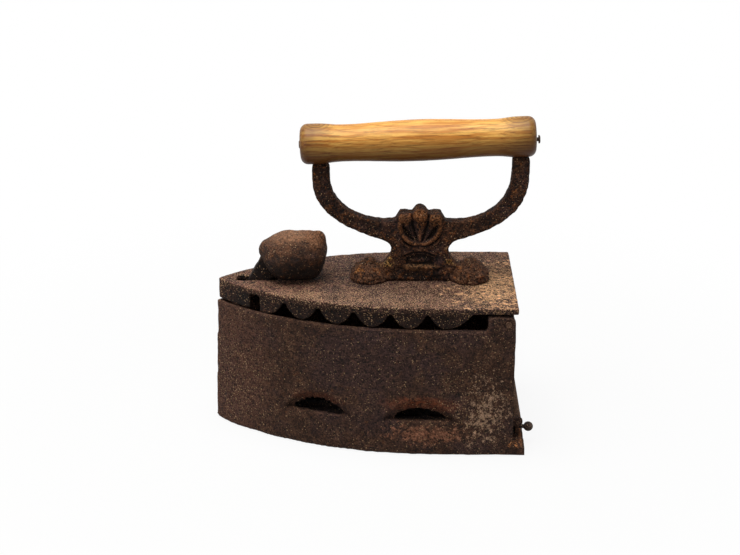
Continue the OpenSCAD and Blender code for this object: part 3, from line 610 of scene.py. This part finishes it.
class LidOperator(bpy.types.Operator):
    """Lid plate with its scalloped skirt"""
    bl_idname = "iron.lid"
    bl_label = "Lid"

    def execute(self, context):
        tones = colours()
        skin = rusted_iron(
            "rusted_lid_iron", tones.plate, tones.plate_light, specks=0.9, rust=0.25, pitted=0.7,
            contrast=1.75, shade_and_crest_map=True,
            stains=[((60, 20, TOP), (34, 40, 3), linear("#6a4839"), 0.35),
                    # Painted shade on the skirt under the lid's lip
                    ((-8, 0, 94), (125, 80, 10), linear("#281b16"), 0.95),
                    # Painted shade in the latch's slot
                    ((73.7, 0, 100.5), (16, 8, 4.4), tones.black_rust_and_shade, 0.95),
                    # Painted shade on the rear half of each nose block, in the gap under the lip
                    ((79, 14, 94), (9, 12, 8), tones.black_rust_and_shade, 0.85),
                    ((79, -14, 94), (9, 12, 8), tones.black_rust_and_shade, 0.85)],
            crusts=[((-88, 12, TOP + 1), (40, 62, 7), linear("#bc9068"), 0.85, 0.86)],
            dusty=[((-10, 40, TOP + 3), (90, 34, 5), 0.17), ((-90, 10, TOP + 3), (40, 60, 5), 0.18),
                   ((46, 36, TOP + 3), (30, 22, 5), 0.24), ((20, 0, 93), (140, 90, 13), -0.14)])
        mesh = recast("lid", 0.8)
        smooth(mesh, 1)
        roughen(mesh, "lid", 0.6 * sizes().swell / MM, 8, seed=2)
        # Painted shade: the sides, which face away from the overhead lamp, and the inside of the
        # latch's slot are painted darker than the top face
        slot_rear, slot_front, slot_half = 62, 86, 5
        (x, y, _), rise = points_of(mesh).T, normals_of(mesh)[:, 2]
        slot = (np.abs(y) < slot_half) & (x > slot_rear) & (x < slot_front) & (rise < 0.7)
        dark = np.where(slot, 1.0, 0.36) * (1 - step(rise, 0.45, 0.75))
        mesh.attributes.new("shade_and_crest", "FLOAT", "POINT").data.foreach_set("value", -dark)
        new_piece("lid_casting", mesh, skin, "lid", ["lid"])
        return {"FINISHED"}


class LatchOperator(bpy.types.Operator):
    """Weighted latch with its leg and hook"""
    bl_idname = "iron.latch"
    bl_label = "Latch"

    def execute(self, context):
        tones = colours()
        low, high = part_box("latch")
        belly = (low.z + high.z) / 2 / MM
        skin = rusted_iron(
            "handled_latch_iron", linear("#3a251a"), linear("#563928"), specks=0.2, rust=0.4,
            pitted=0.5, contrast=1.0, roughness=0.72, dusty=[((44, 0, 147), (30, 30, 16), 0.07)],
            # Painted light on the latch's top
            stains=[((45, 0, 146), (34, 30, 16), linear("#936a4e"), 0.6),
                    ((34, 0, 138), (9, 30, 10), linear("#8a5a3a"), 0.3),
                    # Painted shade in the crease before the rear bump
                    ((42, 17, 134), (11, 8, 6), tones.black_rust_and_shade, 0.5),
                    # Painted shade on the latch's underside
                    ((49, 0, belly - 3), (46, 46, 23), tones.black_rust_and_shade, 0.93)])
        mesh = recast("latch", 0.55)
        smooth(mesh, 8)
        roughen(mesh, "latch", 0.4, 5.5, seed=3)
        new_piece("latch_casting", mesh, skin, "latch", ["latch"])
        return {"FINISHED"}


def palmette(u, z):
    """Height of the ornament on the yoke's face, u out from its middle and z up, as shares of
    the full relief: a palmette in a bowl, with swags and a plain leaf in a panel below it."""
    side = np.abs(u)
    bowl_z, rim, swag_radius = 145.4, 13.5, 15.7
    from_bowl = np.hypot(u, z - bowl_z)
    inside = step(rim - 0.9 - from_bowl, 0, 1.2) * step(149.5 - z, 0, 2)
    rib = ridge(side, 1.0 + 4.4 * step(z, 131, 150)) * step(z, 132.5, 134) * step(155 - z, 0, 3)
    petal_side, petal_half = 3.6 + 0.5 * (z - 135.5), 1.1 + 0.2 * np.clip(z - 134, 0, 14)
    shoulder = step(side, 5.4, 6.6) * step(15.5 - side, 0, 2.5) * step(z, 147.5, 149.5)
    sagging = np.sqrt(np.clip(swag_radius ** 2 - u ** 2, 0, None))
    swag = bowl_z - sagging + 1.4 * np.exp(-(u / 3) ** 2)
    arch = 126.1 - 0.026 * u ** 2
    panel = step(9.8 - side, 0, 1) * step(z, 116.6, 117.6) * step(arch - 1.2 - z, 0, 1)
    # The bowl is sunk, and its rib, petals, side lobes, rim and crown stand up
    height = -1.3 * inside + (1.3 * inside + 0.55) * rib
    height += 1.1 * inside * ridge(side - petal_side, petal_half)
    height += 1.0 * ridge(np.hypot(side - 10.0, z - 148.6), 4.8)
    height += 0.95 * ridge(from_bowl - rim, 1.5) * step(148.5 - z, 0, 2)
    height += 1.15 * ridge(np.hypot(u, z - 153.2), 5.4)
    # Shoulders beside the crown, each behind a groove
    height += 0.55 * shoulder - 0.7 * ridge(side - 5.6, 0.8) * step(z, 148, 150)
    # Swag and arch, each a groove beside a low cord
    height -= 0.75 * ridge(z - swag, 0.8) * (side < 12.5)
    height += 0.45 * ridge(z - swag + 1.8, 1.1) * (side < 13.5)
    height -= 0.75 * ridge(z - arch, 0.8) * (side < 10.5)
    height += 0.4 * ridge(z - arch - 1.5, 0.9) * (side < 11.5)
    # Sunk panel with its leaf, and the sill below it
    height += panel * (0.8 * ridge(np.hypot(u / 4.2, z - 120.2), 1.9) - 0.85)
    height += 0.5 * ridge(z - 115.3, 0.9) * (side < 12.5)
    return height


class YokeOperator(bpy.types.Operator):
    """Cast yoke: two lumpy feet, a waist with its ornament, and two round arms"""
    bl_idname = "iron.yoke"
    bl_label = "Yoke"

    def execute(self, context):
        tones, real = colours(), sizes()
        skin = rusted_iron(
            "crusted_yoke_iron", tones.yoke, linear("#4b3122"), specks=0.22, rust=0.65, pitted=0.9,
            contrast=1.6, shade_and_crest_map=True,
            stains=[((-3, 0, 112), (20, 20, 11), linear("#5a3c29"), 0.6),
                    ((-71, 0, 112), (20, 20, 11), linear("#5a3c29"), 0.6),
                    # Painted highlight along the top of the sill ridge below the ornament
                    ((YOKE_X, 9, 116), (13, 10, 3.5), linear("#86603f"), 0.5),
                    # Painted shadow at the foot of the waist, against the lid
                    ((YOKE_X, 0, 108), (24, 12, 5), tones.black_rust_and_shade, 0.85)],
            crusts=[((-14, 6, 119), (8, 10, 7), linear("#b98c4e"), 0.8, 0.6),
                    ((-59, 6, 119), (8, 10, 7), linear("#b98c4e"), 0.7, 0.5),
                    ((5, 8, 113), (8, 10, 6), linear("#a86a34"), 0.6, 0.6),
                    ((YOKE_X, 6, 153), (17, 8, 7), linear("#9a5a30"), 0.6, 0.6)])
        mesh = recast("handle_yoke", 0.55)
        points = points_of(mesh)
        # The solid's plain bowl is cut back to a flat face, 5 mm out, for the full ornament
        face, bowl_half, bowl_low, bowl_high = 5.0, 17, 131, 157
        ground_low, ground_half = 113, 19
        u, y, z = points[:, 0] - YOKE_X, points[:, 1], points[:, 2]
        flat = (np.abs(u) < bowl_half) & (z > bowl_low) & (z < bowl_high) & (np.abs(y) > face)
        points[flat, 1] = face * np.sign(y[flat])
        put_points(mesh, points)
        # Feet and arms are rounded over, and the ornament's ground hardly
        ground = step(ground_half + 1 - np.abs(u), 0, 4) * step(z, ground_low - 5, ground_low + 3)
        smooth(mesh, 26, share=1 - 0.86 * ground)
        points, normals = points_of(mesh), normals_of(mesh)
        u, y, z = points[:, 0] - YOKE_X, points[:, 1], points[:, 2]
        facing = step(np.abs(normals[:, 1]), 0.5, 0.9) * (np.abs(y) > 3.5)
        cut = palmette(u, z) * facing * step(ground_half - np.abs(u), 0, 2) * (z > ground_low)
        points[:, 1] += np.sign(y) * cut * real.relief / MM
        put_points(mesh, points)
        mesh.attributes.new("shade_and_crest", "FLOAT", "POINT").data.foreach_set("value", cut)
        # Lumps of rust, full on the feet, and none against the lid or up where the grip is
        feet_top, arm_top = 121, 186
        normals = normals_of(mesh)
        keep = step(z - TOP, 0.2, 1.2) * step(arm_top - z, 0, 4)
        lump = wander(points, 3.4, 4, seed=4) * (0.3 + 0.7 * step(feet_top - z, 0, 6))
        put_points(mesh, points + normals * (real.crust / MM * lump * keep)[:, None])
        new_piece("yoke_casting", mesh, skin, "lid", ["handle_yoke"])
        return {"FINISHED"}


class RivetsOperator(bpy.types.Operator):
    """Two hammered rivets that hold the feet of the yoke, set out in a row"""
    bl_idname = "iron.rivets"
    bl_label = "Rivets"

    def execute(self, context):
        tones, real = colours(), sizes()
        front, front_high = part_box("front_rivet")
        rear, rear_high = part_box("rear_rivet")
        low, high = front.z, front_high.z
        head_high, uneven = 3 * MM, 0.6 * MM
        skin = rusted_iron("hammered_rivet_iron", tones.yoke, linear("#6a4a36"), specks=0.45,
                           rust=0.8, pitted=0.9)
        tree = bpy.data.node_groups.new("rivet_row", "GeometryNodeTree")
        face = tree.interface
        face.new_socket("Geometry", in_out="INPUT", socket_type="NodeSocketGeometry")
        named = {}
        for name, kind, value in (("Count", "Int", 2), ("First", "Vector", None),
                                  ("Pitch", "Vector", None),
                                  ("Head Radius", "Float", (front_high.x - front.x) / 2),
                                  ("Head Height", "Float", head_high),
                                  ("Shank Radius", "Float", 3.5 * MM),
                                  ("Shank Length", "Float", high - low - head_high - uneven / 2),
                                  ("Tail Height", "Float", 2.5 * MM),
                                  ("Unevenness", "Float", uneven),
                                  ("Sides", "Int", real.rivet_sides)):
            socket = face.new_socket(name, in_out="INPUT", socket_type="NodeSocket" + kind)
            if value is not None:
                socket.default_value = value
            named[name] = socket.identifier
        face.new_socket("Geometry", in_out="OUTPUT", socket_type="NodeSocketGeometry")
        given = add(tree, "NodeGroupInput").outputs
        row = add(tree, "GeometryNodeMeshLine", {"Count": given["Count"],
                                                 "Start Location": given["First"],
                                                 "Offset": given["Pitch"]}, mode="OFFSET"
                  ).outputs["Mesh"]
        # Head, shank and tail are lapped and made one closed solid
        ball = add(tree, "GeometryNodeMeshUVSphere", {"Segments": given["Sides"], "Rings": 14,
                                                      "Radius": 1.0}).outputs["Mesh"]
        size = add(tree, "ShaderNodeCombineXYZ", {"X": given["Head Radius"],
                                                  "Y": given["Head Radius"],
                                                  "Z": given["Head Height"]}).outputs["Vector"]
        shank = add(tree, "GeometryNodeMeshCylinder", {"Vertices": given["Sides"],
                                                       "Radius": given["Shank Radius"],
                                                       "Depth": given["Shank Length"]},
                    fill_type="TRIANGLE_FAN").outputs["Mesh"]
        tail = add(tree, "GeometryNodeMeshCone", {"Vertices": given["Sides"],
                                                  "Radius Top": given["Head Radius"],
                                                  "Radius Bottom": given["Shank Radius"],
                                                  "Depth": given["Tail Height"]},
                   fill_type="TRIANGLE_FAN").outputs["Mesh"]
        parts = [add(tree, "GeometryNodeTransform", {"Geometry": ball, "Scale": size})]
        for part, share, lap in ((shank, -0.5, 0.0), (tail, -1.0, 0.2 * MM)):
            depth = add(tree, "ShaderNodeMath", {0: given["Shank Length"], 1: share, 2: lap},
                        operation="MULTIPLY_ADD").outputs["Value"]
            at = add(tree, "ShaderNodeCombineXYZ", {"Z": depth}).outputs["Vector"]
            parts.append(add(tree, "GeometryNodeTransform", {"Geometry": part, "Translation": at}))
        one = add(tree, "GeometryNodeMeshBoolean", operation="UNION", solver="EXACT")
        for part in parts:
            tree.links.new(part.outputs["Geometry"], one.inputs["Mesh 2"])
        closed = add(tree, "GeometryNodeMergeByDistance", {"Geometry": one.outputs["Mesh"],
                                                           "Distance": 0.02 * MM})
        faced = add(tree, "GeometryNodeTriangulate", {"Mesh": closed.outputs["Geometry"]})
        # Each rivet is turned its own way and leans a little, then its skin is dented
        turn = add(tree, "FunctionNodeRandomValue", {"Max": (0.12, 0.12, 6.28), "Seed": 7},
                   data_type="FLOAT_VECTOR").outputs["Value"]
        placed = add(tree, "GeometryNodeInstanceOnPoints", {"Points": row, "Instance":
                                                            faced.outputs["Mesh"]}
                     ).outputs["Instances"]
        spun = add(tree, "GeometryNodeRotateInstances", {"Instances": placed, "Rotation": turn}
                   ).outputs["Instances"]
        real_mesh = add(tree, "GeometryNodeRealizeInstances", {"Geometry": spun}
                        ).outputs["Geometry"]
        at = add(tree, "GeometryNodeInputPosition").outputs["Position"]
        lumps = add(tree, "ShaderNodeTexNoise", {"Vector": at, "Scale": 1 / (4 * MM),
                                                 "Detail": 3.0}).outputs["Color"]
        centred = add(tree, "ShaderNodeVectorMath", {0: lumps, 1: (0.5, 0.5, 0.5)},
                      operation="SUBTRACT").outputs["Vector"]
        push = add(tree, "ShaderNodeVectorMath", {0: centred, "Scale": given["Unevenness"]},
                   operation="SCALE").outputs["Vector"]
        hammered = add(tree, "GeometryNodeSetPosition", {"Geometry": real_mesh, "Offset": push}
                       ).outputs["Geometry"]
        coated = add(tree, "GeometryNodeSetMaterial", {"Geometry": hammered, "Material": skin}
                     ).outputs["Geometry"]
        add(tree, "NodeGroupOutput", {"Geometry": coated})
        blank = bpy.data.objects.new("row", bpy.data.meshes.new("row"))
        bpy.context.scene.collection.objects.link(blank)
        modifier = blank.modifiers.new("rivets", "NODES")
        modifier.node_group = tree
        start = Vector(((front.x + front_high.x) / 2, 0, high - head_high))
        modifier[named["First"]] = start
        modifier[named["Pitch"]] = Vector(((rear.x + rear_high.x) / 2 - start.x, 0, 0))
        new_piece("rivets", evaluated(blank), skin, "lid", ["front_rivet", "rear_rivet"])
        return {"FINISHED"}


class GripOperator(bpy.types.Operator):
    """Turned grip: a knob at each end, two necks and a full middle"""
    bl_idname = "iron.grip"
    bl_label = "Grip"

    rings: IntProperty(name="Rings", description="Rings of faces along the grip", default=110)
    sides: IntProperty(name="Sides", description="Faces round the grip", default=80)
    tilt: FloatProperty(name="Tilt", description="Rise of the grip towards its rear",
                        subtype="ANGLE", default=math.radians(2.4))
    edge = 5.0

    def profile(self, s, long):
        """Radius in millimetres at a distance s from the front end. The ends are rounded over by
        the edge."""
        knob, neck, middle = 13.5, 12.3, 13.8
        knob_end, neck_end = 11, 27
        e = np.minimum(s, long - s)
        fall = np.clip((e - knob_end) / (neck_end - knob_end), 0, 1)
        rise = np.clip((e - neck_end) / (long / 2 - neck_end), 0, 1)
        radius = np.where(e < neck_end, knob + (neck - knob) * (1 - np.cos(np.pi * fall)) / 2,
                          neck + (middle - neck) * (1 - np.cos(np.pi * rise)) / 2)
        inside = np.clip(e / self.edge, 0, 1)
        return radius - self.edge * (1 - np.sqrt(np.clip(1 - (1 - inside) ** 2, 0, 1)))

    def execute(self, context):
        low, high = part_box("grip")
        along = Vector((-math.cos(self.tilt), 0, math.sin(self.tilt)))
        up = Vector((math.sin(self.tilt), 0, math.cos(self.tilt)))
        middle = Vector((low.x + high.x, 0, low.z + high.z)) / 2 / MM
        # Taken off the length, so that the tilted end faces stay in the grip's own box
        spare = 0.52
        long = (high.x - low.x) / MM / math.cos(self.tilt) - spare
        start = middle - along * long / 2
        skin = turned_wood(middle, along, up, self.tilt, long)
        # Rings lie closer together where the edge is rounded over
        bend = self.edge * (1 - np.cos(np.linspace(0.25, np.pi / 2, 7)))
        first = self.edge + 0.6
        s = np.concatenate([[0.0], bend, np.linspace(first, long - first, self.rings),
                            long - bend[::-1], [long]])
        bm = bmesh.new()
        rows = []
        for where, r in zip(s, self.profile(s, long)):
            row = []
            for k in range(self.sides):
                a = 2 * math.pi * k / self.sides
                out = up * math.cos(a) + Vector((0, 1, 0)) * math.sin(a)
                place = start + along * where
                # Worn a little out of round, and inside the turned radius
                worn = 0.16 * noise.noise((place + out * r) / 18) - 0.12
                worn += 0.07 * noise.noise((place + out * r) / 5)
                row.append(bm.verts.new((place + out * (r + worn)) * MM))
            rows.append(row)
        for one, two in zip(rows, rows[1:]):
            for k in range(self.sides):
                n = (k + 1) % self.sides
                bm.faces.new((one[k], one[n], two[n], two[k]))
        for row, place in ((rows[0], start), (rows[-1], start + along * long)):
            tip = bm.verts.new(place * MM)
            for k in range(self.sides):
                bm.faces.new((row[k], row[(k + 1) % self.sides], tip))
        bmesh.ops.recalc_face_normals(bm, faces=bm.faces)
        mesh = bpy.data.meshes.new("turned_grip")
        bm.to_mesh(mesh)
        bm.free()
        new_piece("turned_grip", mesh, skin, "lid", ["grip"])
        return {"FINISHED"}


class FittingsOperator(bpy.types.Operator):
    """Pins, washers, nails, draught flap and its knob, in their own finishes"""
    bl_idname = "iron.fittings"
    bl_label = "Fittings"

    def execute(self, context):
        tones = colours()
        wire = rusted_iron("drawn_nail_wire", tones.wire, linear("#57463b"), specks=0.2, rust=0.3,
                           pitted=0.3, roughness=0.6)
        pin = rusted_iron("rusted_pin_iron", linear("#4a382e"), linear("#6b5140"), specks=0.35,
                          rust=0.5, pitted=0.5, roughness=0.75)
        flap = rusted_iron("sooted_flap_iron", linear("#32261f"), linear("#4d3b31"), specks=0.35,
                           rust=0.4, pitted=0.6)
        for skin, nodes in ((wire, ("front_nail", "rear_nail", "flap_knob")),
                            (pin, ("lid_hinge_pin", "latch_pin", "flap_pin", "front_washer",
                                   "rear_washer")),
                            (flap, ("draught_flap",))):
            for node in nodes:
                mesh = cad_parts[node].data
                mesh.materials.clear()
                mesh.materials.append(skin)
        return {"FINISHED"}


# ---------------------------------------------------------------- add-on

PIECES = (StageOperator, FireboxOperator, GrateOperator, LidOperator, LatchOperator, YokeOperator,
          RivetsOperator, GripOperator, FittingsOperator)


class IronPanel(bpy.types.Panel):
    """Lists the pieces of the iron, with its colours and sizes"""
    bl_idname = "IRON_PT_pieces"
    bl_label = "Charcoal Iron"
    bl_space_type = "VIEW_3D"
    bl_region_type = "UI"
    bl_category = "Iron"

    def draw(self, context):
        for piece in PIECES:
            self.layout.operator(piece.bl_idname)
        for group in (context.scene.iron_sizes, context.scene.iron_colours):
            box = self.layout.box()
            for name in group.__annotations__:
                box.prop(group, name)


CLASSES = (IronColours, IronSizes) + PIECES + (IronPanel,)


def register():
    for cls in CLASSES:
        bpy.utils.register_class(cls)
    bpy.types.Scene.iron_colours = PointerProperty(type=IronColours)
    bpy.types.Scene.iron_sizes = PointerProperty(type=IronSizes)


def unregister():
    del bpy.types.Scene.iron_sizes
    del bpy.types.Scene.iron_colours
    for cls in reversed(CLASSES):
        bpy.utils.unregister_class(cls)


def main():
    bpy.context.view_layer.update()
    register()
    for piece in PIECES:
        group, name = piece.bl_idname.split(".")
        getattr(getattr(bpy.ops, group), name)()


if __name__ == "__main__":
    main()
